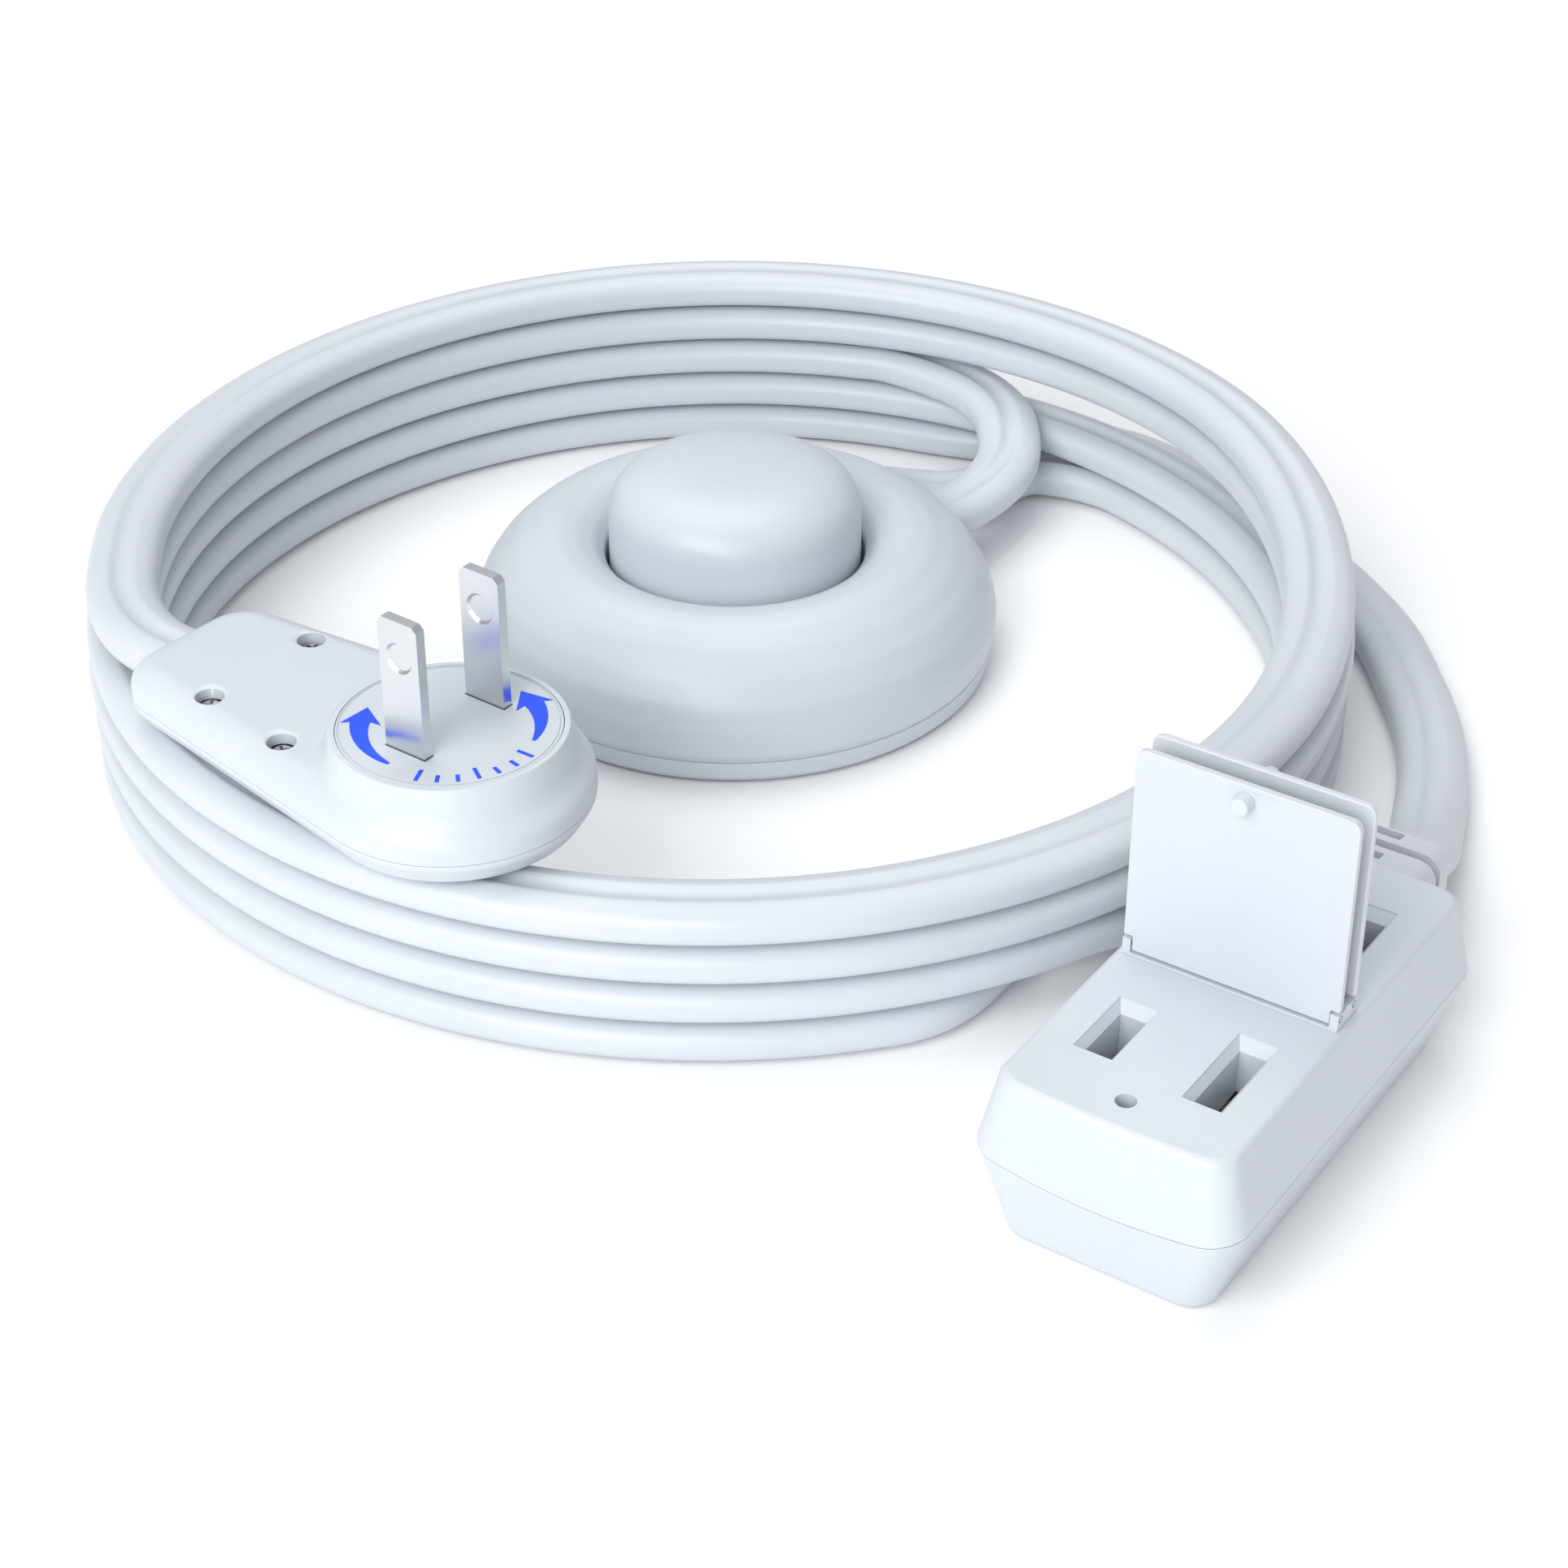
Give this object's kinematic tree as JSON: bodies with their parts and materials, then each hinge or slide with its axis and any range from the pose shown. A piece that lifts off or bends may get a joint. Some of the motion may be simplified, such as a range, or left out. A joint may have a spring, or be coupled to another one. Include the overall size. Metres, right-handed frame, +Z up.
{
  "type": "extension cord",
  "caption": "White flat two-wire extension cord, coiled, with a rotating flat plug, a round foot switch and a two-outlet block whose flip-up covers stand open.",
  "frame": {"origin": "centre of the foot switch's underside, on the floor", "axes": "+X to the right and +Y to the back of the coil as it lies, +Z up from the floor"},
  "size_m": [0.1683, 0.195, 0.0476],
  "materials": {
    "white_shell": "satin",
    "grey_disc": "satin",
    "white_cord": "satin",
    "dark_plastic": "matte",
    "wire_insulation": "satin",
    "soft_pad": "matte",
    "nickel": "polished",
    "brass": "satin",
    "steel": "satin"
  },
  "bodies": {
    "cord_set": {"cord_coil": "white_cord", "cord_top_turn": "white_cord", "cord_plug_side_lead": "white_cord", "cord_outlet_side_lead": "white_cord", "cord_outlet_lead": "white_cord", "plug_lower_shell": "white_shell", "plug_upper_shell": "white_shell", "plug_cord_gland": "dark_plastic", "plug_slip_ring": "brass", "plug_centre_contact": "brass", "plug_line_wire": "wire_insulation", "plug_neutral_wire": "wire_insulation", "plug_screw_1": "steel", "plug_screw_2": "steel", "plug_screw_3": "steel", "plug_screw_4": "steel", "switch_pad": "soft_pad", "switch_base": "white_shell", "switch_housing": "white_shell", "switch_return_spring": "steel", "switch_grommet_1": "white_cord", "switch_grommet_2": "white_cord", "switch_fixed_contact_1": "brass", "switch_fixed_contact_2": "brass", "switch_terminal_screw_1": "steel", "switch_terminal_screw_2": "steel", "switch_wire_in": "wire_insulation", "switch_wire_through": "wire_insulation", "switch_wire_out": "wire_insulation", "switch_screw_1": "steel", "switch_screw_2": "steel", "switch_screw_3": "steel", "outlet_bottom_shell": "white_shell", "outlet_top_shell": "white_shell", "outlet_bus_line": "brass", "outlet_bus_neutral": "brass", "outlet_strain_relief": "white_cord", "outlet_hinge_bar": "white_shell", "outlet_hinge_pin_near": "steel", "outlet_hinge_pin_far": "steel", "outlet_wire_line": "wire_insulation", "outlet_wire_neutral": "wire_insulation", "outlet_screw_1": "steel", "outlet_screw_2": "steel"},
    "plug_disc": {"plug_rotating_disc": "grey_disc", "plug_retaining_ring": "steel", "plug_blade_line": "nickel", "plug_blade_neutral": "nickel"},
    "button": {"switch_button": "white_shell", "switch_button_stem": "dark_plastic"},
    "cam": {"switch_ratchet_rotor": "dark_plastic", "switch_contact_bridge": "brass"},
    "flap_near": {"outlet_flap_near": "white_shell"},
    "flap_far": {"outlet_flap_far": "white_shell"}
  },
  "joints": [
    {"name": "plug_swivel", "type": "hinge", "parent": "cord_set", "child": "plug_disc", "pos_m": [-0.0294, -0.069, 0.0317], "axis": [0, 0, 1], "continuous": true},
    {"name": "button_press", "type": "slide", "parent": "cord_set", "child": "button", "axis": [0, 0, -1], "range_m": [0, 0.0022], "stiffness_N_per_m": 250, "springref_m": -0.003, "deforming": ["switch_return_spring"]},
    {"name": "cam_turn", "type": "hinge", "parent": "cord_set", "child": "cam", "pos_m": [0, 0, 0.0126], "axis": [0, 0, 1], "range_deg": [0, 45.5]},
    {"name": "flap_near_hinge", "type": "hinge", "parent": "cord_set", "child": "flap_near", "pos_m": [0.05116, -0.09944, 0.02075], "axis": [0.829, -0.5592, 0], "range_deg": [0, 90]},
    {"name": "flap_far_hinge", "type": "hinge", "parent": "cord_set", "child": "flap_far", "pos_m": [0.05284, -0.09696, 0.02075], "axis": [-0.829, 0.5592, 0], "range_deg": [0, 90]}
  ],
  "couplings": [
    {"joint": "cam_turn", "follows": "button_press", "rad_per_m": 357}
  ]
}
